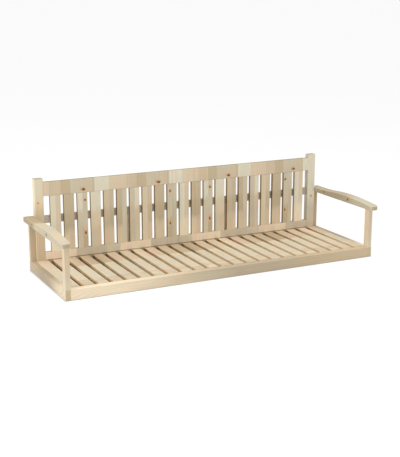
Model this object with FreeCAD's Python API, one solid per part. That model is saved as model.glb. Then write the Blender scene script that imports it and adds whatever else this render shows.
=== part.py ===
import FreeCAD, Part
import os

# Two-metre porch swing in planed softwood: a seat frame with slats that run front to back,
# a slatted back between two posts, and an armrest on two posts at each end.
# Millimetres. +Z is up, +X is the sitter's left-to-right seen from the front, the back is at +Y.
# The origin is the centre of the bounding box, on the plane of the underside.

# ---- driving dimensions ----------------------------------------------------------------
WIDTH = 2000.0                 # across the outer faces of the side rails
DEPTH = 650.0                  # front face to rear face of the seat frame
FRAME_HEIGHT = 60.0
SIDE_RAIL_THICKNESS = 30.0
FRONT_RAIL_THICKNESS = 45.0
REAR_RAIL_THICKNESS = 40.0

SEAT_SLAT_COUNT = 23
SEAT_SLAT_WIDTH = 60.0
SLAT_THICKNESS = 22.0
SEAT_SHIFT = 11.0              # the first slat is this much wider than the others
SEAT_PITCH = 85.3
BEARER_HEIGHT = 25.0
LEDGER_THICKNESS = 22.0
BEARER_WIDTH = 45.0
JOIST_WIDTH = 45.0
JOIST_SLATS = (7, 15)          # the joists lie under these seat slats, counted from 0

BACK_HEIGHT = 555.0            # top of the back posts
BACK_POST_WIDTH = 54.0
BACK_POST_INSET = 34.0         # side rail's outer face to the post's outer face
TOP_RAIL_BOTTOM = 450.0
TOP_RAIL_TOP = 533.0
TOP_RAIL_THICKNESS = 30.0
BOTTOM_RAIL_HEIGHT = 51.0
MIDDLE_RAIL_BOTTOM = 282.0
MIDDLE_RAIL_HEIGHT = 46.0
MIDDLE_RAIL_THICKNESS = 18.0
BACK_SLAT_COUNT = 21
BACK_SLAT_WIDTH = 64.0
BACK_SLAT_GAP = 20.1
STRUT_WIDTH = 84.0
STRUT_SLATS = (6, 14)          # the struts stand behind these back slats, counted from 0

ARM_HEIGHT = 300.0             # underside of the armrest
ARM_REAR_THICKNESS = 29.0
ARM_CREST_THICKNESS = 42.0
ARM_SIDE_OVERHANG = 25.0
ARM_FRONT_OVERHANG = 28.0
ARM_REAR_OVERHANG = 12.0
FRONT_ARM_POST_DEPTH = 40.0
REAR_ARM_POST_DEPTH = 25.0
REAR_ARM_POST_THICKNESS = BACK_POST_INSET      # it meets the outer face of the back post
ARM_FRONT_CORNER = 24.0        # plan radius of the armrest's two front corners
ARM_REAR_CORNER = 4.0

RAIL_EASE = 3.5                # rounding on the long edges of the frame's boards
SLAT_EASE = 2.5
LIGHT_EASE = 1.0               # where one board meets the next flush

TENON_GAP = 1.0                # glue space at the bottom of a mortise
TONGUE_WIDTH = 36.0            # the tongues at both ends of a back slat
TONGUE_THICKNESS = 10.0
TONGUE_LENGTH = 12.0
RAIL_TENON_LENGTH = 20.0
FRAME_TENON_LENGTH = 8.0
STUB_TENON_LENGTH = 10.0
POST_TENON_LENGTH = 25.0
ARM_TENON_LENGTH = 16.0

HANGING_BORE_RADIUS = 4.5      # clears an M8 eye bolt
HANGING_BORE_HEIGHT = 19.5
HANGING_BORE_INSET = 85.0      # from the front and rear faces of the frame

SCREW_LENGTH = 35.0
SCREW_SHANK_RADIUS = 2.0
SCREW_HEAD_RADIUS = 4.0
SCREW_HEAD_HEIGHT = 2.6
SCREW_POINT_LENGTH = 6.0
SCREW_RECESS_RADIUS = 1.5
SCREW_RECESS_DEPTH = 1.8
LEDGER_SCREW_SLATS = (1, 4, 6, 9, 11, 13, 16, 18, 21)
COUNTERBORE_RADIUS = 5.0

# ---- worked out from the dimensions above ----------------------------------------------
OUTER = WIDTH / 2
INNER = OUTER - SIDE_RAIL_THICKNESS
FRONT = (ARM_FRONT_OVERHANG - ARM_REAR_OVERHANG - DEPTH) / 2
REAR = FRONT + DEPTH
SEAT_FRONT = FRONT + FRONT_RAIL_THICKNESS
SEAT_REAR = REAR - REAR_RAIL_THICKNESS
SEAT_SLAT_BOTTOM = FRAME_HEIGHT - SLAT_THICKNESS
BEARER_BOTTOM = SEAT_SLAT_BOTTOM - BEARER_HEIGHT
MIDDLE = (SEAT_FRONT + SEAT_REAR) / 2

POST_OUTER = OUTER - BACK_POST_INSET
POST_INNER = POST_OUTER - BACK_POST_WIDTH
BACK_FACE = SEAT_REAR
BACK_SLAT_REAR = BACK_FACE + SLAT_THICKNESS
BACK_PITCH = BACK_SLAT_WIDTH + BACK_SLAT_GAP
BOTTOM_RAIL_TOP = FRAME_HEIGHT + BOTTOM_RAIL_HEIGHT
MIDDLE_RAIL_TOP = MIDDLE_RAIL_BOTTOM + MIDDLE_RAIL_HEIGHT


def seat_slat_span(index):
    """Its left and right edges. The first slat starts at the left side rail, wider than the rest,
    and the last one is ripped narrower, to end at the right side rail."""
    left = -INNER + SEAT_SHIFT + index * SEAT_PITCH
    return (left if index else -INNER, min(left + SEAT_SLAT_WIDTH, INNER))


def seat_slat_centre(index):
    return sum(seat_slat_span(index)) / 2


def back_slat_centre(index):
    return (index - (BACK_SLAT_COUNT - 1) / 2) * BACK_PITCH


STRUT_CENTRES = [back_slat_centre(index) for index in STRUT_SLATS]
JOIST_CENTRES = [seat_slat_centre(index) for index in JOIST_SLATS]


# ---- helpers ----------------------------------------------------------------------------
def about(centre, size):
    return (centre - size / 2, centre + size / 2)


def box(xs, ys, zs):
    size = [high - low for low, high in (xs, ys, zs)]
    return Part.makeBox(*size, FreeCAD.Vector(xs[0], ys[0], zs[0]))


def runs_along(edge, axis):
    direction = edge.lastVertex().Point - edge.firstVertex().Point
    return abs(abs(getattr(direction, axis)) - direction.Length) < 1e-6


def board(xs, ys, zs, grain, ease=SLAT_EASE):
    """A plank whose four long edges, along the axis named by grain, are rounded."""
    plank = box(xs, ys, zs)
    edges = [edge for edge in plank.Edges if runs_along(edge, grain)]
    return plank.makeFillet(ease, edges)


def joined(solid, *tenons):
    for tenon in tenons:
        solid = solid.fuse(tenon)
    return solid.removeSplitter()


def without(solid, cutters):
    for cutter in cutters:
        if solid.BoundBox.intersect(cutter.BoundBox):
            solid = solid.cut(cutter)
    return solid


def mirror_x(shape):
    return shape.mirror(FreeCAD.Vector(0, 0, 0), FreeCAD.Vector(1, 0, 0))


def both_sides(shape):
    return [shape, mirror_x(shape)]


# ---- tenons: each is the same box on the tenoned piece and, a little deeper, in its mortise
def slat_tongue_up(index, gap=0.0):
    ys = about((BACK_FACE + BACK_SLAT_REAR) / 2, TONGUE_THICKNESS)
    zs = (TOP_RAIL_BOTTOM, TOP_RAIL_BOTTOM + TONGUE_LENGTH + gap)
    return box(about(back_slat_centre(index), TONGUE_WIDTH), ys, zs)


def slat_tongue_down(index, gap=0.0):
    ys = about((BACK_FACE + BACK_SLAT_REAR) / 2, TONGUE_THICKNESS)
    zs = (BOTTOM_RAIL_TOP - TONGUE_LENGTH - gap, BOTTOM_RAIL_TOP)
    return box(about(back_slat_centre(index), TONGUE_WIDTH), ys, zs)


def front_rail_tenon(gap=0.0):
    """The left-hand one, as are the other tenons below that a piece has at both ends."""
    xs = (-INNER - FRAME_TENON_LENGTH - gap, -INNER)
    return box(xs, about((FRONT + SEAT_FRONT) / 2, 20.0), (14.0, 46.0))


def rear_rail_tenon(gap=0.0):
    xs = (-INNER - FRAME_TENON_LENGTH - gap, -INNER)
    return box(xs, about((SEAT_REAR + REAR) / 2, 18.0), (14.0, 46.0))


def top_rail_tenon(gap=0.0):
    xs = (-POST_INNER - RAIL_TENON_LENGTH - gap, -POST_INNER)
    ys = about(BACK_FACE + TOP_RAIL_THICKNESS / 2, 12.0)
    return box(xs, ys, (TOP_RAIL_BOTTOM + 10, TOP_RAIL_TOP - 15))


def bottom_rail_tenon(gap=0.0):
    xs = (-POST_INNER - RAIL_TENON_LENGTH - gap, -POST_INNER)
    return box(xs, about(BACK_FACE + SLAT_THICKNESS / 2, 10.0), (FRAME_HEIGHT + 8, BOTTOM_RAIL_TOP - 8))


def middle_rail_tenon(gap=0.0):
    xs = (-POST_INNER - RAIL_TENON_LENGTH - gap, -POST_INNER)
    ys = about(REAR - MIDDLE_RAIL_THICKNESS / 2, 8.0)
    return box(xs, ys, (MIDDLE_RAIL_BOTTOM + 6, MIDDLE_RAIL_TOP - 6))


def post_tenon(gap=0.0):
    """Left back post into the rear rail, pointing down."""
    xs = about(-(POST_OUTER + POST_INNER) / 2, 32.0)
    zs = (FRAME_HEIGHT - POST_TENON_LENGTH - gap, FRAME_HEIGHT)
    return box(xs, about((SEAT_REAR + REAR) / 2, 20.0), zs)


def arm_post_span(place):
    if place == "front":
        return (FRONT, FRONT + FRONT_ARM_POST_DEPTH)
    return (REAR - REAR_ARM_POST_DEPTH, REAR)


def arm_post_foot(place, gap=0.0):
    """The tenon of a left arm post that goes down into the side rail."""
    low, high = arm_post_span(place)
    zs = (FRAME_HEIGHT - POST_TENON_LENGTH - gap, FRAME_HEIGHT)
    return box(about(-(OUTER + INNER) / 2 - 2.0, 12.0), (low + 6.0, high - 6.0), zs)


def arm_post_head(place, gap=0.0):
    """The tenon of a left arm post that goes up into the armrest."""
    low, high = arm_post_span(place)
    zs = (ARM_HEIGHT, ARM_HEIGHT + ARM_TENON_LENGTH + gap)
    return box(about(-(OUTER + INNER) / 2 - 2.0, 12.0), (low + 6.0, high - 6.0), zs)


def joist_tenon(centre, low, high):
    return box(about(centre, 28.0), (low, high), (8.0, 30.0))


def bearer_tenon(low, high):
    return box((low, high), about(MIDDLE, 30.0), (19.0, 32.0))


# ---- screws -----------------------------------------------------------------------------
def screw_profile(grow):
    """Half section of a countersunk wood screw along +Z, head at z = 0; grow adds clearance."""
    head = SCREW_HEAD_RADIUS + grow
    shank = SCREW_SHANK_RADIUS + grow
    start = SCREW_LENGTH - SCREW_POINT_LENGTH
    points = [(0, 0), (head, 0), (shank, SCREW_HEAD_HEIGHT), (shank, start), (0, SCREW_LENGTH + grow)]
    vectors = [FreeCAD.Vector(r, 0, z) for r, z in points]
    face = Part.Face(Part.makePolygon(vectors + vectors[:1]))
    return face.revolve(FreeCAD.Vector(0, 0, 0), FreeCAD.Vector(0, 0, 1), 360)


def hex_recess():
    axis = FreeCAD.Vector(0, 0, 1)
    corner = FreeCAD.Vector(SCREW_RECESS_RADIUS, 0, 0)
    ring = Part.makePolygon([FreeCAD.Rotation(axis, 60 * turn).multVec(corner) for turn in range(7)])
    return Part.Face(ring).extrude(FreeCAD.Vector(0, 0, SCREW_RECESS_DEPTH))


def screw_places():
    """Head centre and driving direction of every screw."""
    up = FreeCAD.Vector(0, 0, 1)
    forward = FreeCAD.Vector(0, -1, 0)
    backward = FreeCAD.Vector(0, 1, 0)
    ledgers = (SEAT_FRONT + LEDGER_THICKNESS / 2, MIDDLE, SEAT_REAR - LEDGER_THICKNESS / 2)
    places = []
    for index in range(SEAT_SLAT_COUNT):
        for y in ledgers:
            places.append((FreeCAD.Vector(seat_slat_centre(index), y, BEARER_BOTTOM), up))
    for index in LEDGER_SCREW_SLATS:
        x = seat_slat_centre(index) + (SEAT_PITCH / 2 if index < 11 else -SEAT_PITCH / 2)
        z = BEARER_BOTTOM + BEARER_HEIGHT / 2
        places.append((FreeCAD.Vector(x, SEAT_FRONT + LEDGER_THICKNESS, z), forward))
        places.append((FreeCAD.Vector(x, SEAT_REAR - LEDGER_THICKNESS, z), backward))
    for index in range(BACK_SLAT_COUNT):
        z = MIDDLE_RAIL_BOTTOM + MIDDLE_RAIL_HEIGHT / 2
        places.append((FreeCAD.Vector(back_slat_centre(index), REAR, z), forward))
    for centre in STRUT_CENTRES:
        for x in (centre - 18.0, centre + 18.0):
            for z in (FRAME_HEIGHT + BOTTOM_RAIL_HEIGHT / 2, MIDDLE_RAIL_BOTTOM - 25.0):
                places.append((FreeCAD.Vector(x, REAR, z), forward))
    return places


def placed(shape, position, direction):
    turn = FreeCAD.Rotation(FreeCAD.Vector(0, 0, 1), direction)
    copy = shape.copy()
    copy.Placement = FreeCAD.Placement(position, turn)
    return copy


SCREW_PLACES = screw_places()
SCREW_HOLE = screw_profile(0.2)
SCREW_HOLES = [placed(SCREW_HOLE, position, direction) for position, direction in SCREW_PLACES]


# ---- seat frame -------------------------------------------------------------------------
def side_rail_left():
    rail = board((-OUTER, -INNER), (FRONT, REAR), (0, FRAME_HEIGHT), "y", RAIL_EASE)
    cutters = [front_rail_tenon(TENON_GAP), rear_rail_tenon(TENON_GAP)]
    cutters.append(bearer_tenon(-INNER - STUB_TENON_LENGTH - TENON_GAP, -INNER))
    cutters += [arm_post_foot(place, TENON_GAP) for place in ("front", "rear")]
    for y in (FRONT + HANGING_BORE_INSET, REAR - HANGING_BORE_INSET):
        start = FreeCAD.Vector(-OUTER - 1, y, HANGING_BORE_HEIGHT)
        cutters.append(Part.makeCylinder(
            HANGING_BORE_RADIUS, SIDE_RAIL_THICKNESS + 2, start, FreeCAD.Vector(1, 0, 0)))
    return without(rail, cutters)


def front_rail():
    rail = board((-INNER, INNER), (FRONT, SEAT_FRONT), (0, FRAME_HEIGHT), "x", RAIL_EASE)
    tenons = both_sides(front_rail_tenon())
    reach = SEAT_FRONT - STUB_TENON_LENGTH - TENON_GAP
    mortises = [joist_tenon(centre, reach, SEAT_FRONT) for centre in JOIST_CENTRES]
    return without(joined(rail, *tenons), mortises + SCREW_HOLES)


def rear_rail():
    rail = board((-INNER, INNER), (SEAT_REAR, REAR), (0, FRAME_HEIGHT), "x", LIGHT_EASE)
    tenons = both_sides(rear_rail_tenon())
    reach = SEAT_REAR + STUB_TENON_LENGTH + TENON_GAP
    mortises = [joist_tenon(centre, SEAT_REAR, reach) for centre in JOIST_CENTRES]
    mortises += both_sides(post_tenon(TENON_GAP))
    return without(joined(rail, *tenons), mortises + SCREW_HOLES)


def joist(centre):
    span = (SEAT_FRONT, SEAT_REAR)
    body = board(about(centre, JOIST_WIDTH), span, (0, SEAT_SLAT_BOTTOM), "y", LIGHT_EASE)
    ends = [
        joist_tenon(centre, SEAT_FRONT - STUB_TENON_LENGTH, SEAT_FRONT),
        joist_tenon(centre, SEAT_REAR, SEAT_REAR + STUB_TENON_LENGTH)]
    left, right = about(centre, JOIST_WIDTH)
    reach = STUB_TENON_LENGTH + TENON_GAP
    cutters = [bearer_tenon(left, left + reach), bearer_tenon(right - reach, right)]
    for position, direction in SCREW_PLACES:
        if direction.z > 0.5:
            foot = FreeCAD.Vector(position.x, position.y, 0)
            cutters.append(Part.makeCylinder(COUNTERBORE_RADIUS, BEARER_BOTTOM, foot))
    return without(joined(body, *ends), cutters + SCREW_HOLES)


def bays():
    """The three clear widths between the side rails and the two joists."""
    left, right = [about(centre, JOIST_WIDTH) for centre in JOIST_CENTRES]
    return [(-INNER, left[0]), (left[1], right[0]), (right[1], INNER)]


def seat_bearers():
    """Two joists, and in each bay a front ledger, a middle bearer and a rear ledger."""
    solids = [joist(centre) for centre in JOIST_CENTRES]
    heights = (BEARER_BOTTOM, SEAT_SLAT_BOTTOM)
    for low, high in bays():
        for ys in ((SEAT_FRONT, SEAT_FRONT + LEDGER_THICKNESS), (SEAT_REAR - LEDGER_THICKNESS, SEAT_REAR)):
            solids.append(without(board((low, high), ys, heights, "x", LIGHT_EASE), SCREW_HOLES))
        bearer = board((low, high), about(MIDDLE, BEARER_WIDTH), heights, "x", LIGHT_EASE)
        ends = [bearer_tenon(low - STUB_TENON_LENGTH, low), bearer_tenon(high, high + STUB_TENON_LENGTH)]
        solids.append(without(joined(bearer, *ends), SCREW_HOLES))
    return Part.makeCompound(solids)


def seat_slat(index):
    xs = seat_slat_span(index)
    slat = board(xs, (SEAT_FRONT, SEAT_REAR), (SEAT_SLAT_BOTTOM, FRAME_HEIGHT), "y")
    return without(slat, SCREW_HOLES)


# ---- back -------------------------------------------------------------------------------
def back_post_left():
    post = board((-POST_OUTER, -POST_INNER), (BACK_FACE, REAR), (FRAME_HEIGHT, BACK_HEIGHT), "z")
    mortises = [top_rail_tenon(TENON_GAP), bottom_rail_tenon(TENON_GAP), middle_rail_tenon(TENON_GAP)]
    return without(joined(post, post_tenon()), mortises)


def back_top_rail():
    ys = (BACK_FACE, BACK_FACE + TOP_RAIL_THICKNESS)
    rail = board((-POST_INNER, POST_INNER), ys, (TOP_RAIL_BOTTOM, TOP_RAIL_TOP), "x")
    mortises = [slat_tongue_up(index, TENON_GAP) for index in range(BACK_SLAT_COUNT)]
    return without(joined(rail, *both_sides(top_rail_tenon())), mortises)


def back_bottom_rail():
    ys = (BACK_FACE, BACK_SLAT_REAR)
    rail = board((-POST_INNER, POST_INNER), ys, (FRAME_HEIGHT, BOTTOM_RAIL_TOP), "x", LIGHT_EASE)
    mortises = [slat_tongue_down(index, TENON_GAP) for index in range(BACK_SLAT_COUNT)]
    return without(joined(rail, *both_sides(bottom_rail_tenon())), mortises + SCREW_HOLES)


def back_middle_rail():
    ys = (BACK_SLAT_REAR, REAR)
    rail = board((-POST_INNER, POST_INNER), ys, (MIDDLE_RAIL_BOTTOM, MIDDLE_RAIL_TOP), "x", LIGHT_EASE)
    return without(joined(rail, *both_sides(middle_rail_tenon())), SCREW_HOLES)


def back_slat(index):
    xs = about(back_slat_centre(index), BACK_SLAT_WIDTH)
    slat = board(xs, (BACK_FACE, BACK_SLAT_REAR), (BOTTOM_RAIL_TOP, TOP_RAIL_BOTTOM), "z")
    return without(joined(slat, slat_tongue_up(index), slat_tongue_down(index)), SCREW_HOLES)


def back_struts():
    """Two uprights behind the back, from the rear rail to the middle rail."""
    solids = []
    for centre in STRUT_CENTRES:
        heights = (FRAME_HEIGHT, MIDDLE_RAIL_BOTTOM)
        strut = board(about(centre, STRUT_WIDTH), (BACK_SLAT_REAR, REAR), heights, "z", LIGHT_EASE)
        solids.append(without(strut, SCREW_HOLES))
    return Part.makeCompound(solids)


# ---- arms -------------------------------------------------------------------------------
def arm_posts(place):
    """The pair of posts, left and right, under the armrests."""
    thickness = SIDE_RAIL_THICKNESS if place == "front" else REAR_ARM_POST_THICKNESS
    xs = (-OUTER, thickness - OUTER)
    post = board(xs, arm_post_span(place), (FRAME_HEIGHT, ARM_HEIGHT), "z")
    return Part.makeCompound(both_sides(joined(post, arm_post_foot(place), arm_post_head(place))))


def armrest_left():
    """A board with a flat underside, thickest about a third of the way back from the front."""
    tip = FRONT - ARM_FRONT_OVERHANG
    tail = REAR + ARM_REAR_OVERHANG
    rear_top = ARM_HEIGHT + ARM_REAR_THICKNESS
    crest = ARM_HEIGHT + ARM_CREST_THICKNESS
    x = -OUTER - ARM_SIDE_OVERHANG

    def at(y, z):
        return FreeCAD.Vector(x, y, z)

    hump = Part.BSplineCurve()
    hump.interpolate(
        Points=[at(tip, ARM_HEIGHT + 24.0), at(tip + 122.0, crest - 6.5), at(tip + 252.0, crest),
                at(tip + 430.0, crest - 5.0), at(tip + 560.0, rear_top)],
        InitialTangent=FreeCAD.Vector(0, 1, 0.12), FinalTangent=FreeCAD.Vector(0, 1, 0))
    edges = [
        hump.toShape(),
        Part.LineSegment(at(tip + 560.0, rear_top), at(tail, rear_top)).toShape(),
        Part.LineSegment(at(tail, rear_top), at(tail, ARM_HEIGHT)).toShape(),
        Part.LineSegment(at(tail, ARM_HEIGHT), at(tip, ARM_HEIGHT)).toShape(),
        Part.LineSegment(at(tip, ARM_HEIGHT), at(tip, ARM_HEIGHT + 24.0)).toShape()]
    width = ARM_SIDE_OVERHANG + BACK_POST_INSET
    rest = Part.Face(Part.Wire(edges)).extrude(FreeCAD.Vector(width, 0, 0))
    uprights = [edge for edge in rest.Edges if runs_along(edge, "z")]
    front = [edge for edge in uprights if edge.CenterOfMass.y < 0]
    rest = rest.makeFillet(ARM_FRONT_CORNER, front)
    uprights = [edge for edge in rest.Edges if runs_along(edge, "z") and edge.CenterOfMass.y > tail - 1]
    rest = rest.makeFillet(ARM_REAR_CORNER, uprights)
    rims = [edge for edge in rest.Edges if not runs_along(edge, "z") and not runs_along(edge, "x")]
    rest = rest.makeFillet(SLAT_EASE, rims)
    return without(rest, [arm_post_head(place, TENON_GAP) for place in ("front", "rear")])


def wood_screws():
    screw = screw_profile(0.0).cut(hex_recess())
    return Part.makeCompound([placed(screw, position, direction) for position, direction in SCREW_PLACES])


# ---- all the nodes ----------------------------------------------------------------------
def build():
    nodes = {
        "side_rail_left": side_rail_left(),
        "side_rail_right": mirror_x(side_rail_left()),
        "front_rail": front_rail(),
        "rear_rail": rear_rail(),
        "seat_bearers": seat_bearers(),
        "back_post_left": back_post_left(),
        "back_post_right": mirror_x(back_post_left()),
        "back_top_rail": back_top_rail(),
        "back_middle_rail": back_middle_rail(),
        "back_bottom_rail": back_bottom_rail(),
        "back_struts": back_struts(),
        "front_arm_posts": arm_posts("front"),
        "rear_arm_posts": arm_posts("rear"),
        "armrest_left": armrest_left(),
        "armrest_right": mirror_x(armrest_left()),
        "wood_screws": wood_screws()}
    for index in range(SEAT_SLAT_COUNT):
        nodes["seat_slat_%02d" % (index + 1)] = seat_slat(index)
    for index in range(BACK_SLAT_COUNT):
        nodes["back_slat_%02d" % (index + 1)] = back_slat(index)
    return nodes


os.makedirs("parts", exist_ok=True)
for name, shape in build().items():
    shape.exportStep("parts/%s.step" % name)
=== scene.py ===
import math

import bpy
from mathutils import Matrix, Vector


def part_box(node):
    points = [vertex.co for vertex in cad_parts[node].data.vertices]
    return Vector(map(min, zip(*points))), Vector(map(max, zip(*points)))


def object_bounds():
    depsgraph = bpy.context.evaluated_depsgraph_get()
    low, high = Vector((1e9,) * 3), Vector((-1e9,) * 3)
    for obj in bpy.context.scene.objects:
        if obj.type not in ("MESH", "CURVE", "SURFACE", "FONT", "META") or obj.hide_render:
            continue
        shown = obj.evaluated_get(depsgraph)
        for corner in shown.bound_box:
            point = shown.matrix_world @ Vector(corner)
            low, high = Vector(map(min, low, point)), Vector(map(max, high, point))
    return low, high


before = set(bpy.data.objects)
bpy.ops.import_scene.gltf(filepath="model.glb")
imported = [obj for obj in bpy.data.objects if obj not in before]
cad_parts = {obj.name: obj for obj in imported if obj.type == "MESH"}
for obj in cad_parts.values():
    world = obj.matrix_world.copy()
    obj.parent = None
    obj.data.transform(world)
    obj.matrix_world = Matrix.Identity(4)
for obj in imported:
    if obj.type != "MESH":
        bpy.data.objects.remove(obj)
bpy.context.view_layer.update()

# A two-metre porch swing in unfinished pine. Metres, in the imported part's frame:
# +X runs along the seat, the back is at +Y, +Z is up.

# ---- camera and light -------------------------------------------------------------------
CAMERA_PLACE = Vector((-2.5914, -5.1436, 1.6830))
CAMERA_HEADING = 63.58         # degrees from +X towards +Y
CAMERA_DROP = 14.25            # degrees below level
CAMERA_LENS = 77.42
SKY_STRENGTH = 0.66
LIGHTS = (                     # name, place, size across, watts
    ("key", (-8.6, -1.3, 3.4), 4.0, 300.0),
    ("top", (0.0, -0.8, 4.2), 4.0, 62.0))
FLOOR_REACH = 120.0
FLOOR_GLOW = 0.76
FLOOR_TONE = (0.30, 0.30, 0.30)
FLOOR_EDGE = 0.012             # the glow fades in from this far inside the frame to this far outside
FLOOR_DROP = 0.0005            # keeps the sheet clear of the frame's underside

# ---- tones of the wood, as screen colours -----------------------------------------------
TONES = {
    "pale": (226, 209, 180),
    "cream": (216, 206, 181),
    "butter": (222, 206, 175),
    "sand": (211, 192, 162),
    "blush": (213, 191, 163),
    "tan": (204, 183, 152),
    "honey": (192, 173, 141),
    "bark": (184, 165, 133),
    "sage": (200, 186, 159),
    "moss": (193, 178, 150),
    "ash": (185, 169, 143),
    "ivory": (240, 222, 192)}
KNOT_CORES = ((78, 64, 40), (118, 70, 34))      # grey and red knots
KNOT_RIMS = ((156, 136, 102), (188, 136, 84))
KNOT_HALO = (212, 180, 142)
END_TONE = (212, 208, 196)                      # end grain is darker by this colour
WHITE = (1.0, 1.0, 1.0, 1.0)
SHADE_TINT = (1.0, 1.035, 1.09, 1.0)            # takes the warmth out of boards in the shade
DEEP_SHADE_TINT = (1.0, 1.05, 1.14, 1.0)
SLAT_SIDE_SHADE = (0.50, 0.44, 0.34, 1.0)             # painted shade on the side faces of slats, deep in the gaps between them
SEAT_SIDE_LIGHT_AND_SHADE = ((1.15, 1.04, 0.88, 1.0), (0.84, 0.72, 0.54, 1.0))     # painted light on the side faces of the seat slats in front, and painted shade on them at the back
CREVICE_SHADE = (0.34, 0.27, 0.18, 1.0)               # painted shade in the crease where the seat runs up to the back
MIDDLE_RAIL_FRONT_LIGHT = (1.06, 1.22, 1.56, 1.0)     # painted light that lifts and cools the faces the back slats shade, here and on the struts
STRUT_FRONT_LIGHT = (1.15, 1.23, 1.39, 1.0)
# painted shade on the faces towards X: of the side rails, then of the right back post and the arms
RAIL_SIDE_SHADE = (0.80, 0.80, 0.80, 1.0)
ARM_SIDE_SHADE = (0.72, 0.72, 0.72, 1.0)
SEAT_TINT = (1.0, 1.01, 1.06, 1.0)
ZINC_TONES = ((176, 172, 158), (208, 206, 200))
ZINC_GRAIN = 900.0                              # specks per metre

# ---- grain: streaks as length, width, detail and a shift along the board ------------------
BROAD_STREAKS = (0.30, 0.009, 2.0)
CLOUDS = (0.18, 0.06, 1.0, 5.0)
FIBRES = (0.03, 0.0012, 3.0, 11.0)
HUE_PATCHES = (0.12, 0.035, 1.0, 21.0)
HUES = ((1.012, 0.992, 0.985, 1.0), (0.985, 1.01, 1.0, 1.0))        # rosier and greener wood
BROAD_SWING = 0.06             # how far each layer moves the brightness up and down
CLOUD_SWING = 0.05
FIBRE_SWING = 0.05
RING_SWING = 0.05
RING_WARMTH = 0.10
RING_SPACING = 0.0042
PITH_DEPTH = 0.035
PITH_BENDS = (0.5, 0.12, 1.0, 3.0)
PITH_WANDER = 0.06
TONE_DRIFT = (0.25, 0.02, 1.0, 2.0)
TONE_WANDER = 0.12             # how far tones shift, as a share of the board's length
FIBRE_RELIEF = 0.6
RING_RELIEF = -0.4
RELIEF = {"Strength": 0.22, "Distance": 0.0006}
SMOOTHEST_WOOD = 0.50
FIBRE_ROUGHNESS = 0.18
WOOD_SPECULAR = 0.32
TURNED = (0.6, 0.9)            # a face is turned to an axis when its normal lies this much along it

# ---- painted light: low and high place along the board's axis, and the lift at each --------
BACK_FOOT_LIFT = (0.10, 0.25, 1.30, 1.14)
BACK_HEAD_LIFT = (0.25, 0.42, 1.0, 0.97)
SEAT_LIFT = (0.02, 0.13, 1.07, 1.15)
TOP_RAIL_LIFT = 1.10
BOTTOM_RAIL_LIFT = 1.44
POST_LIFT = 1.10

# ---- back slats: ten cuts that repeat along the back. Left and right half of the upper,
# the middle and the lower third
BACK_CUTS = (
    ("cream sand", "cream sand", "pale pale"),
    ("honey honey", "bark bark", "sand tan"),
    ("cream sage", "sage sage", "sage bark"),
    ("cream cream", "sand sand", "sage tan"),
    ("tan moss", "honey bark", "tan tan"),
    ("honey sage", "bark sage", "tan sage"),
    ("sage cream", "moss tan", "moss sage"),
    ("sand tan", "sand honey", "sand tan"),
    ("honey honey", "bark bark", "tan tan"),
    ("sage sage", "sage moss", "bark moss"))
BACK_JOINTS = ((0.28, 0.42), (0.56, 0.74))      # shares of the height where the thirds meet
CUT_DRIFT = (0.2, 0.02, 1.0, 2.0)
CUT_WANDER = 0.012
JOINT_DRIFT = (0.09, 0.03, 1.0, 4.0)
JOINT_WANDER = 0.06

# ---- rails: (share of the period or of the length, tone) ---------------------------------
RAIL_PERIOD = 0.488
TOP_RAIL_START = -0.745
TOP_RAIL_STAVES = (
    (0.00, "sage"), (0.14, "sage"), (0.22, "tan"), (0.275, "moss"), (0.305, "cream"),
    (0.42, "cream"), (0.50, "sand"), (0.61, "blush"), (0.70, "blush"), (0.73, "tan"),
    (0.87, "honey"))
BOTTOM_RAIL_START = -0.435
BOTTOM_RAIL_FOOT_SHADE = (0.001, 0.008)       # a painted shade line along its foot, in the crease by the seat, fades out between these heights
BOTTOM_RAIL_STAVES = ((0.0, "blush"), (0.2, "sand"), (0.415, "ash"), (0.75, "ash"), (0.82, "moss"))
REAR_RAIL_TONES = ((0.0, "sand"), (0.5, "honey"), (0.9, "tan"))
MIDDLE_RAIL_TONES = ((0.0, "tan"), (0.5, "honey"))
STRUT_TONES = ((0.0, "tan"), (0.5, "sand"))
BEARER_TONES = ((0.0, "tan"), (0.5, "honey"))
FRONT_RAIL_TONES = (
    (0.0, "ivory"), (0.15, "ivory"), (0.24, "pale"), (0.36, "sand"), (0.45, "moss"),
    (0.53, "ash"), (0.67, "ash"), (0.76, "honey"), (0.97, "tan"))
SIDE_RAIL_TONES = (
    (0.0, "ivory"), (0.18, "ivory"), (0.32, "sand"), (0.45, "ash"), (0.68, "ash"),
    (0.82, "tan"), (0.96, "sage"))

# ---- posts from the foot up, arms from the front to the back ------------------------------
LEFT_POST_TONES = ((0.0, "tan"), (0.55, "tan"), (0.64, "sand"), (0.74, "butter"), (0.9, "cream"))
RIGHT_POST_TONES = ((0.0, "sand"), (0.3, "sage"), (0.5, "cream"), (0.9, "cream"))
FRONT_ARM_POST_TONES = ((0.0, "cream"), (0.5, "sand"), (0.9, "blush"))
REAR_ARM_POST_TONES = ((0.0, "sand"), (0.5, "tan"), (0.9, "honey"))
LEFT_ARM_TONES = (
    (0.0, "cream"), (0.2, "pale"), (0.4, "cream"), (0.55, "butter"), (0.66, "pale"),
    (0.72, "moss"), (0.85, "honey"))
RIGHT_ARM_TONES = (
    (0.0, "cream"), (0.25, "cream"), (0.4, "sage"), (0.6, "moss"), (0.8, "moss"), (0.95, "sage"))

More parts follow.
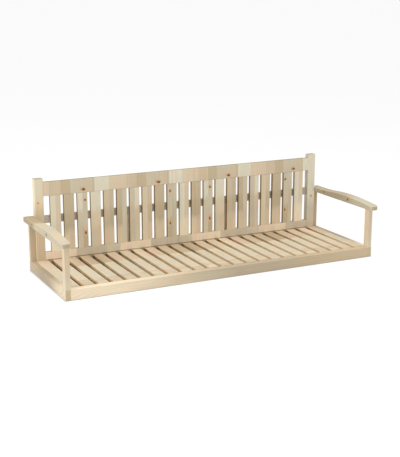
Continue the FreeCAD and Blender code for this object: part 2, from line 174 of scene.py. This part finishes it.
# ---- seat slats --------------------------------------------------------------------------
SEAT_PERIOD = 0.612
SEAT_START = -0.985
SEAT_REAR_TONES = (
    (0.0, "pale"), (0.12, "blush"), (0.3, "tan"), (0.46, "honey"), (0.6, "bark"), (0.72, "tan"),
    (0.86, "sand"))
SEAT_REAR_JOINT = 0.093        # each slat changes tone here and at the front joint, along Y
SEAT_FRONT_JOINT = -0.172
SEAT_JOINT_BLUR = 0.012
SEAT_JOINT_WANDER = 0.03
SEAT_CLOUDS = (4.0, 22.0)       # patches and cross bands, as counts per metre along X and Y
SEAT_BANDS = (5.0, 95.0)
SEAT_BAND_SWING = 0.09
SEAT_SIDE_SHADE_TURN = (-0.2, 0.2)    # the painted light on the slats' side faces turns to painted shade over this, along Y
SEAT_CREVICE_SHADE = (0.22, 0.285)    # and the painted crease shade darkens them over this, along Y

# ---- knots: the two axes of the face they show on, then each knot's place on these axes, its
# radius along them and its redness
BACK_SLAT_KNOTS = ("x", "z", (
    (-0.656, 0.4045, 0.0080, 0.0085, 0.1), (-0.656, 0.201, 0.0075, 0.012, 0.9),
    (-0.0975, 0.4045, 0.0080, 0.0085, 0.3), (-0.0975, 0.199, 0.0070, 0.012, 1.0),
    (0.180, 0.4045, 0.0080, 0.0085, 0.1), (0.180, 0.201, 0.0075, 0.012, 0.9),
    (0.7365, 0.4045, 0.0070, 0.0085, 0.3), (0.738, 0.199, 0.0070, 0.012, 1.0)))
TOP_RAIL_KNOTS = ("x", "z", (
    (-0.664, 0.4690, 0.015, 0.009, 0.7), (-0.175, 0.4690, 0.015, 0.009, 0.7),
    (0.314, 0.4690, 0.015, 0.009, 0.7), (0.800, 0.4690, 0.015, 0.009, 0.7)))
LEFT_POST_KNOTS = ("x", "z", ((-0.946, 0.411, 0.004, 0.006, 0.6),))
RIGHT_POST_KNOTS = ("x", "z", ((0.941, 0.272, 0.005, 0.006, 1.0),))
ARM_KNOTS = ("y", "z", (
    (0.178, 0.318, 0.007, 0.007, 0.2), (-0.093, 0.321, 0.008, 0.007, 0.1)))

# ---- plain boards: start of the nodes' names, material, grain, tones, seed, further choices --
PLAIN_BOARDS = (
    # the front rail's top face is painted lighter
    ("front_rail", "front_rail_pine", "x", FRONT_RAIL_TONES, 5, {"top": 1.2}),
    ("side_rail", "side_rail_pine", "y", SIDE_RAIL_TONES, 7, {"side": RAIL_SIDE_SHADE}),
    ("rear_rail", "rear_rail_pine", "x", REAR_RAIL_TONES, 11, {}),
    ("seat_bearers", "bearer_pine", "y", BEARER_TONES, 13, {"span": (-0.3, 0.3)}),
    ("back_middle_rail", "middle_rail_pine", "x", MIDDLE_RAIL_TONES, 37, {"front": MIDDLE_RAIL_FRONT_LIGHT}),
    ("back_struts", "strut_pine", "z", STRUT_TONES, 43, {"front": STRUT_FRONT_LIGHT}),
    ("back_post_left", "left_post_pine", "z", LEFT_POST_TONES, 19,
     {"knots": LEFT_POST_KNOTS, "lift": POST_LIFT}),
    ("back_post_right", "right_post_pine", "z", RIGHT_POST_TONES, 47,
     {"knots": RIGHT_POST_KNOTS, "lift": POST_LIFT, "side": ARM_SIDE_SHADE, "tint": SHADE_TINT}),
    ("front_arm_posts", "front_arm_post_pine", "z", FRONT_ARM_POST_TONES, 29, {}),
    # the rear arm posts are painted darker, for the shade under the arms
    ("rear_arm_posts", "rear_arm_post_pine", "z", REAR_ARM_POST_TONES, 53, {"lift": 0.92}),
    ("armrest_left", "left_arm_pine", "y", LEFT_ARM_TONES, 31,
     {"knots": ARM_KNOTS, "side": ARM_SIDE_SHADE}),
    ("armrest_right", "right_arm_pine", "y", RIGHT_ARM_TONES, 31,
     {"knots": ARM_KNOTS, "side": ARM_SIDE_SHADE}))


# ---- shader building ----------------------------------------------------------------------
def linear(colour):
    """A screen colour, 0 to 255, as the linear colour that shaders take."""
    shares = [channel / 255 for channel in colour]
    bright = [c / 12.92 if c <= 0.04045 else ((c + 0.055) / 1.055) ** 2.4 for c in shares]
    return (*bright, 1.0)


class Shader:
    """Adds nodes to one material. Wherever a socket is asked for, a plain number serves too."""

    def __init__(self, name):
        self.material = bpy.data.materials.new(name)
        self.material.use_nodes = True
        self.tree = self.material.node_tree
        self.tree.nodes.clear()

    def add(self, kind, inputs=None, **settings):
        node = self.tree.nodes.new(kind)
        for key, value in settings.items():
            setattr(node, key, value)
        for key, value in (inputs or {}).items():
            if isinstance(value, bpy.types.NodeSocket):
                self.tree.links.new(value, node.inputs[key])
            else:
                node.inputs[key].default_value = value
        return node

    def math(self, operation, *values):
        return self.add("ShaderNodeMath", dict(enumerate(values)), operation=operation).outputs[0]

    def vector(self, x, y, z):
        return self.add("ShaderNodeCombineXYZ", {0: x, 1: y, 2: z}).outputs[0]

    def noise(self, vector, scale, detail):
        inputs = {"Vector": vector, "Scale": scale, "Detail": detail}
        return self.add("ShaderNodeTexNoise", inputs).outputs[0]

    def smooth(self, value, low, high, start=0.0, end=1.0):
        """Eases from start to end as value goes from low to high."""
        inputs = {"Value": value, "From Min": low, "From Max": high, "To Min": start, "To Max": end}
        return self.add("ShaderNodeMapRange", inputs, interpolation_type="SMOOTHSTEP").outputs[0]

    def swing(self, value, amount):
        """A noise value, which sits around a half, as a factor around 1."""
        return self.math("MULTIPLY_ADD", value, 2 * amount, 1 - amount)

    def wander(self, value, noise, reach):
        """value, moved to and fro by up to half of reach as the noise varies."""
        return self.math("MULTIPLY_ADD", noise, reach, self.math("SUBTRACT", value, reach / 2))

    def mix(self, factor, first, second, blend="MIX"):
        inputs = {0: factor, 6: first, 7: second}
        node = self.add("ShaderNodeMix", inputs, data_type="RGBA", blend_type=blend)
        return node.outputs[2]

    def scaled(self, colour, factor):
        """colour with its brightness times factor."""
        node = self.add("ShaderNodeVectorMath", {0: colour, "Scale": factor}, operation="SCALE")
        return node.outputs[0]

    def principled(self, **inputs):
        """Ends the material in one Principled shader. An underscore in a name stands for a space."""
        sockets = {name.replace("_", " "): value for name, value in inputs.items()}
        shader = self.add("ShaderNodeBsdfPrincipled", sockets)
        self.add("ShaderNodeOutputMaterial", {0: shader.outputs[0]})
        return self.material

    def ramp(self, value, stops, interpolation="LINEAR"):
        node = self.add("ShaderNodeValToRGB", {0: value})
        node.color_ramp.interpolation = interpolation
        elements = node.color_ramp.elements
        while len(elements) < len(stops):
            elements.new(0.5)
        for element, (position, name) in zip(elements, stops):
            element.position = position
            element.color = linear(TONES[name])
        return node.outputs[0]


class Wood(Shader):
    """A pine board's shader: grain names the axis that its fibres run along."""

    def __init__(self, name, grain, seed, index=None):
        super().__init__(name)
        place = self.add("ShaderNodeTexCoord").outputs["Object"]
        split = self.add("ShaderNodeSeparateXYZ", {0: place}).outputs
        self.at = {"x": split[0], "y": split[1], "z": split[2]}
        self.grain = grain
        self.index = self.math("ADD", index(self), seed) if index else seed
        self.knots = []

    def stretched(self, length, width, shift=0.0):
        """Coordinates in which a noise of scale 1 makes streaks of that length and width."""
        sizes = {axis: (length if axis == self.grain else width) for axis in "xyz"}
        parts = [self.math("MULTIPLY", self.at[axis], 1 / sizes[axis]) for axis in "xyz"]
        hop = self.math("MULTIPLY_ADD", self.index, 7.31, shift)
        along = "xyz".index(self.grain)
        parts[along] = self.math("ADD", parts[along], hop)
        return self.vector(*parts)

    def streaks(self, length, width, detail, shift=0.0):
        return self.noise(self.stretched(length, width, shift), 1.0, detail)

    def rings(self, spacing, depth):
        """Growth rings around a pith along the grain, which wanders a little and lies depth, and a
        step for each board's number, from the frame's origin."""
        across = [axis for axis in "xyz" if axis != self.grain]
        first = self.wander(self.at[across[0]], self.streaks(*PITH_BENDS), PITH_WANDER)
        hop = self.math("MULTIPLY_ADD", self.index, 0.0173, depth)
        second = self.math("ADD", self.at[across[1]], hop)
        distance = self.length(first, second)
        for bulge in self.knots:
            distance = self.math("MULTIPLY_ADD", bulge, 0.006, distance)
        phase = self.math("FRACT", self.math("MULTIPLY", distance, 1 / spacing))
        return self.smooth(phase, 0.35, 1.0)

    def knot(self, colour, first, second, places):
        """Paints knots on colour. first and second name the two axes of the face they show on."""
        wobble = self.noise(self.stretched(0.02, 0.012, 9.0), 1.0, 2.0)
        for u, v, across, along, redness in places:
            du = self.math("MULTIPLY", self.math("SUBTRACT", self.at[first], u), 1 / across)
            dv = self.math("MULTIPLY", self.math("SUBTRACT", self.at[second], v), 1 / along)
            reach = self.math("SUBTRACT", self.length(du, dv), 0.35)
            reach = self.math("MULTIPLY_ADD", wobble, 0.7, reach)
            # the stained wood around a knot reaches a little further up and towards the axis's low end
            stain_u = self.math("MULTIPLY_ADD", du, 0.75, 0.18)
            stain_v = self.math("MULTIPLY_ADD", dv, 0.75, -0.28)
            stain = self.math("SUBTRACT", self.length(stain_u, stain_v), 0.55)
            stain = self.math("MULTIPLY_ADD", wobble, 1.1, stain)
            halo = self.smooth(stain, 0.7, 2.6, 0.5, 0.0)
            rim = self.smooth(stain, 0.3, 1.2, 0.7, 0.0)
            core = self.smooth(reach, 0.35, 1.05, 1.0, 0.0)
            colour = self.mix(halo, colour, linear(KNOT_HALO))
            colour = self.mix(rim, colour, self.between(KNOT_RIMS, redness))
            colour = self.mix(core, colour, self.between(KNOT_CORES, redness))
            self.knots.append(self.smooth(reach, 0.5, 4.0, 1.0, 0.0))
        return colour

    def between(self, pair, share):
        """The colour that lies share of the way from the first of pair to the second, as linear."""
        return linear([first + (second - first) * share for first, second in zip(*pair)])

    def length(self, u, v):
        squares = self.math("ADD", self.math("POWER", u, 2.0), self.math("POWER", v, 2.0))
        return self.math("SQRT", squares)

    def finish(self, colour, lift=1.0, top=1.0, side=WHITE, front=WHITE, tint=WHITE):
        """Adds fibres, rings, end grain, roughness and relief to the board's tone.

        lift scales the brightness of the whole board and top that of its face towards +Z: painted
        light and shade. tint multiplies the colour of the whole board, side that of its faces towards
        X and front that of its face towards -Y: painted shade, or painted light where they lift it."""
        normal = self.add("ShaderNodeTexCoord").outputs["Normal"]
        facing = self.add("ShaderNodeSeparateXYZ", {0: normal}).outputs
        fine = self.streaks(*FIBRES)
        growth = self.rings(RING_SPACING, PITH_DEPTH)
        # painted light and shade: the lift, the top face, the shade tint, the side faces and the front
        # face
        shade = self.math("MULTIPLY", self.grain_shade(fine, growth), lift)
        shade = self.math("MULTIPLY", shade, self.smooth(facing[2], *TURNED, 1.0, top))
        colour = self.mix(1.0, self.scaled(colour, shade), tint, "MULTIPLY")
        turned = self.smooth(self.math("ABSOLUTE", facing[0]), *TURNED)
        colour = self.mix(turned, colour, side, "MULTIPLY")
        forward = self.smooth(facing[1], -TURNED[1], -TURNED[0], 1.0, 0.0)
        colour = self.mix(forward, colour, front, "MULTIPLY")
        hue = self.smooth(self.streaks(*HUE_PATCHES), 0.35, 0.65)
        colour = self.mix(1.0, colour, self.mix(hue, *HUES), "MULTIPLY")
        warmth = self.math("MULTIPLY", growth, RING_WARMTH)
        colour = self.mix(warmth, colour, linear(KNOT_HALO), "MULTIPLY")
        along_grain = facing["xyz".index(self.grain)]
        end = self.smooth(self.math("ABSOLUTE", along_grain), *TURNED)
        colour = self.mix(end, colour, linear(END_TONE), "MULTIPLY")
        relief = self.math("MULTIPLY", growth, RING_RELIEF)
        relief = self.math("MULTIPLY_ADD", fine, FIBRE_RELIEF, relief)
        bump = self.add("ShaderNodeBump", {**RELIEF, "Height": relief})
        rough = self.math("MULTIPLY_ADD", fine, FIBRE_ROUGHNESS, SMOOTHEST_WOOD)
        return self.principled(
            Base_Color=colour, Roughness=rough, Normal=bump.outputs[0],
            Specular_IOR_Level=WOOD_SPECULAR)

    def grain_shade(self, fine, growth):
        """How the layers of the grain lighten and darken the board, as a factor around 1."""
        broad = self.swing(self.streaks(*BROAD_STREAKS), BROAD_SWING)
        cloud = self.swing(self.streaks(*CLOUDS), CLOUD_SWING)
        shade = self.math("MULTIPLY", broad, cloud)
        shade = self.math("MULTIPLY", shade, self.swing(fine, FIBRE_SWING))
        late_wood = self.math("MULTIPLY_ADD", growth, -RING_SWING, 1 + RING_SWING / 2)
        return self.math("MULTIPLY", shade, late_wood)


# ---- materials ----------------------------------------------------------------------------
def slat_number(first, pitch):
    """Counts slats along X from the centre of the first one, so that each has its own grain."""
    def index(wood):
        steps = wood.math("MULTIPLY", wood.math("SUBTRACT", wood.at["x"], first), 1 / pitch)
        return wood.math("ROUND", steps)
    return index


def extent(node, axis):
    low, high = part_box(node)
    return getattr(low, axis), getattr(high, axis)


def centre_x(node):
    low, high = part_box(node)
    return (low.x + high.x) / 2


def foot_lift(wood):
    """Painted light: pales the back towards its foot, where the seat and the arms keep light from it.
    """
    foot = wood.smooth(wood.at["z"], *BACK_FOOT_LIFT)
    return wood.math("MULTIPLY", foot, wood.smooth(wood.at["z"], *BACK_HEAD_LIFT))


def back_slat_pine():
    first = centre_x("back_slat_01")
    pitch = centre_x("back_slat_02") - first
    wood = Wood("back_slat_pine", "z", 3, slat_number(first, pitch))
    x = wood.math("SUBTRACT", wood.at["x"], first - pitch / 2)
    x = wood.wander(x, wood.streaks(*CUT_DRIFT), CUT_WANDER)
    turn = wood.math("FRACT", wood.math("MULTIPLY", x, 1 / (pitch * len(BACK_CUTS))))
    bands = []
    for band in range(3):
        stops = []
        for cut, halves in enumerate(BACK_CUTS):
            for half, tone in enumerate(halves[band].split()):
                stops.append(((cut + half / 2) / len(BACK_CUTS), tone))
        bands.append(wood.ramp(turn, stops, "CONSTANT"))
    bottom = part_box("back_slat_01")[0].z
    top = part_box("back_slat_01")[1].z
    height = wood.math("SUBTRACT", wood.at["z"], bottom)
    height = wood.wander(height, wood.streaks(*JOINT_DRIFT), JOINT_WANDER)
    share = wood.math("MULTIPLY", height, 1 / (top - bottom))
    colour = wood.mix(wood.smooth(share, *BACK_JOINTS[0]), bands[2], bands[1])
    colour = wood.mix(wood.smooth(share, *BACK_JOINTS[1]), colour, bands[0])
    colour = wood.knot(colour, *BACK_SLAT_KNOTS)
    # painted light towards the foot, painted shade on the side faces and a painted shade tint on the
    # front faces
    return wood.finish(colour, lift=foot_lift(wood), side=SLAT_SIDE_SHADE, front=SHADE_TINT)


def repeated(wood, axis, start, period):
    offset = wood.math("SUBTRACT", wood.at[axis], start)
    return wood.math("FRACT", wood.math("MULTIPLY", offset, 1 / period))


def top_rail_pine():
    wood = Wood("top_rail_pine", "z", 17)
    turn = repeated(wood, "x", TOP_RAIL_START, RAIL_PERIOD)
    colour = wood.ramp(turn, TOP_RAIL_STAVES, "CONSTANT")
    colour = wood.knot(colour, *TOP_RAIL_KNOTS)
    return wood.finish(colour, lift=TOP_RAIL_LIFT, tint=SHADE_TINT)


def bottom_rail_pine():
    wood = Wood("bottom_rail_pine", "z", 23)
    turn = repeated(wood, "x", BOTTOM_RAIL_START, RAIL_PERIOD)
    colour = wood.ramp(turn, BOTTOM_RAIL_STAVES, "CONSTANT")
    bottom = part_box("back_bottom_rail")[0].z
    low, high = [bottom + height for height in BOTTOM_RAIL_FOOT_SHADE]
    # painted shade: a dark line along the foot, where the rail meets the seat
    foot = wood.smooth(wood.at["z"], low, high, 1.0, 0.0)
    colour = wood.mix(foot, colour, CREVICE_SHADE, "MULTIPLY")
    return wood.finish(colour, lift=BOTTOM_RAIL_LIFT, tint=DEEP_SHADE_TINT)


def seat_noise(wood, across, along):
    """A noise that differs from slat to slat. across and along are its counts per metre."""
    x = wood.math("MULTIPLY", wood.at["x"], across)
    y = wood.math("MULTIPLY", wood.at["y"], along)
    return wood.noise(wood.vector(x, y, wood.index), 1.0, 2.0)


def past_joint(wood, y, joint):
    return wood.smooth(y, joint - SEAT_JOINT_BLUR, joint + SEAT_JOINT_BLUR)


def seat_slat_pine():
    second = centre_x("seat_slat_02")
    pitch = centre_x("seat_slat_03") - second
    wood = Wood("seat_slat_pine", "y", 41, slat_number(second - pitch, pitch))
    cloud = seat_noise(wood, *SEAT_CLOUDS)
    bands = seat_noise(wood, *SEAT_BANDS)
    rear = wood.ramp(repeated(wood, "x", SEAT_START, SEAT_PERIOD), SEAT_REAR_TONES)
    sand, butter, cream = [linear(TONES[name]) for name in ("sand", "butter", "cream")]
    middle = wood.mix(wood.smooth(cloud, 0.35, 0.65), butter, cream)
    front = wood.mix(wood.smooth(cloud, 0.4, 0.6), sand, butter)
    y = wood.wander(wood.at["y"], cloud, SEAT_JOINT_WANDER)
    colour = wood.mix(past_joint(wood, y, SEAT_REAR_JOINT), middle, rear)
    colour = wood.mix(past_joint(wood, y, SEAT_FRONT_JOINT), front, colour)
    colour = wood.mix(1.0, colour, SEAT_TINT, "MULTIPLY")
    colour = wood.scaled(colour, wood.swing(bands, SEAT_BAND_SWING))
    # painted light and shade on the slats' side faces, with painted crevice shade towards the back
    side_light_and_shade = wood.mix(wood.smooth(wood.at["y"], *SEAT_SIDE_SHADE_TURN), *SEAT_SIDE_LIGHT_AND_SHADE)
    side_light_and_shade = wood.mix(wood.smooth(wood.at["y"], *SEAT_CREVICE_SHADE), side_light_and_shade, CREVICE_SHADE, "MULTIPLY")
    return wood.finish(colour, lift=wood.smooth(wood.at["y"], *SEAT_LIFT), side=side_light_and_shade)


def plain_pine(name, grain, tones, seed, span, knots=None, **finish):
    """Pine whose tone changes over span, its extent on the axis that the grain follows."""
    wood = Wood(name, grain, seed)
    low, high = span
    share = wood.math("MULTIPLY", wood.math("SUBTRACT", wood.at[grain], low), 1 / (high - low))
    share = wood.wander(share, wood.streaks(*TONE_DRIFT), TONE_WANDER)
    colour = wood.ramp(share, tones)
    if knots:
        colour = wood.knot(colour, *knots)
    return wood.finish(colour, **finish)


def zinc_plated_steel():
    steel = Shader("zinc_plated_steel")
    place = steel.add("ShaderNodeTexCoord").outputs["Object"]
    mottle = steel.noise(place, ZINC_GRAIN, 3.0)
    colour = steel.mix(steel.smooth(mottle, 0.3, 0.7), *[linear(tone) for tone in ZINC_TONES])
    rough = steel.math("MULTIPLY_ADD", mottle, 0.25, 0.24)
    return steel.principled(Base_Color=colour, Metallic=1.0, Roughness=rough)


def named(start):
    """The CAD nodes whose names begin with start."""
    return [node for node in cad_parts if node.startswith(start)]


def dress(start, material):
    for node in named(start):
        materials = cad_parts[node].data.materials
        materials.clear()
        materials.append(material)


def finish_boards():
    dress("back_slat_", back_slat_pine())
    dress("back_top_rail", top_rail_pine())
    dress("back_bottom_rail", bottom_rail_pine())
    dress("seat_slat_", seat_slat_pine())
    for start, name, grain, tones, seed, choices in PLAIN_BOARDS:
        choices = {"span": extent(named(start)[0], grain), **choices}
        dress(start, plain_pine(name, grain, tones, seed, **choices))
    dress("wood_screws", zinc_plated_steel())


# ---- stage --------------------------------------------------------------------------------
def make_camera():
    data = bpy.data.cameras.new("camera")
    data.lens = CAMERA_LENS
    data.sensor_width = 36.0
    camera = bpy.data.objects.new("camera", data)
    bpy.context.scene.collection.objects.link(camera)
    heading = math.radians(CAMERA_HEADING)
    drop = math.radians(CAMERA_DROP)
    level = math.cos(drop)
    view = Vector((math.cos(heading) * level, math.sin(heading) * level, -math.sin(drop)))
    camera.location = CAMERA_PLACE
    camera.rotation_euler = view.to_track_quat("-Z", "Y").to_euler()
    bpy.context.scene.camera = camera


def make_floor():
    """A white sheet that glows a little beyond the swing, so that only a faint shadow shows."""
    signs = ((-1, -1), (1, -1), (1, 1), (-1, 1))
    corners = [(x * FLOOR_REACH, y * FLOOR_REACH, 0.0) for x, y in signs]
    mesh = bpy.data.meshes.new("floor")
    mesh.from_pydata(corners, [], [(0, 1, 2, 3)])
    mesh.materials.append(floor_white())
    floor = bpy.data.objects.new("floor", mesh)
    bpy.context.scene.collection.objects.link(floor)
    floor.location.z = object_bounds()[0][2] - FLOOR_DROP


def floor_white():
    white = Shader("floor_white")
    place = white.add("ShaderNodeTexCoord").outputs["Object"]
    split = white.add("ShaderNodeSeparateXYZ", {0: place}).outputs
    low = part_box("side_rail_left")[0]
    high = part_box("side_rail_right")[1]
    beyond = []
    for axis in range(2):
        centre = (low[axis] + high[axis]) / 2
        half = (high[axis] - low[axis]) / 2
        offset = white.math("ABSOLUTE", white.math("SUBTRACT", split[axis], centre))
        beyond.append(white.smooth(offset, half - FLOOR_EDGE, half + FLOOR_EDGE))
    glow = white.math("MULTIPLY", white.math("MAXIMUM", *beyond), FLOOR_GLOW)
    return white.principled(
        Base_Color=(*FLOOR_TONE, 1.0), Roughness=0.9, Specular_IOR_Level=0.0,
        Emission_Color=WHITE, Emission_Strength=glow)


def make_light():
    world = bpy.data.worlds.new("sky")
    world.use_nodes = True
    sky = world.node_tree.nodes["Background"]
    sky.inputs["Color"].default_value = WHITE
    sky.inputs["Strength"].default_value = SKY_STRENGTH
    bpy.context.scene.world = world
    for name, place, size, watts in LIGHTS:
        data = bpy.data.lights.new(name, "AREA")
        data.energy = watts
        data.size = size
        light = bpy.data.objects.new(name, data)
        bpy.context.scene.collection.objects.link(light)
        light.location = place
        light.rotation_euler = (-Vector(place)).to_track_quat("-Z", "Y").to_euler()
    bpy.context.scene.view_settings.view_transform = "Standard"


make_camera()
make_light()
make_floor()
finish_boards()
